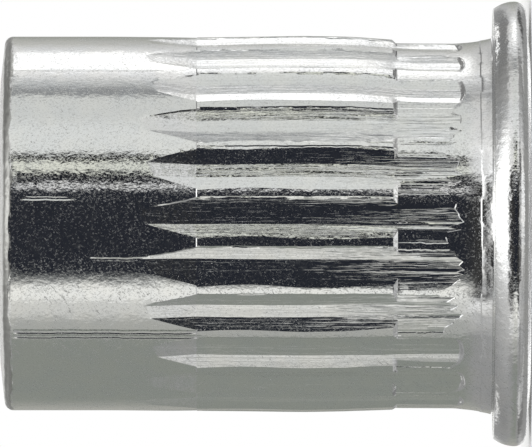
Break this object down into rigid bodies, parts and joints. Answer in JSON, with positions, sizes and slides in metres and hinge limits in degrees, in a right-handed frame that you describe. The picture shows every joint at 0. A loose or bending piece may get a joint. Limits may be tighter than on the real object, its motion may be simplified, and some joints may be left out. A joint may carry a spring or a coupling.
{
  "type": "blind rivet nut",
  "caption": "Steel blind rivet nut with a small flange, a knurled body and a plain end, threaded inside, for giving a thin sheet a fixed thread from one side.",
  "frame": {"origin": "centre of the flange's outer face, which the nut stands on", "axes": "+Z along the nut's axis from the flange to the plain threaded end; +X lies beside the middle of a groove"},
  "size_m": [0.0131, 0.013, 0.0156],
  "materials": {
    "zinc_plated_steel": "bright zinc plate over drawn and cold-formed steel"
  },
  "bodies": {
    "root": {"rivet_nut": "zinc_plated_steel"}
  },
  "joints": []
}
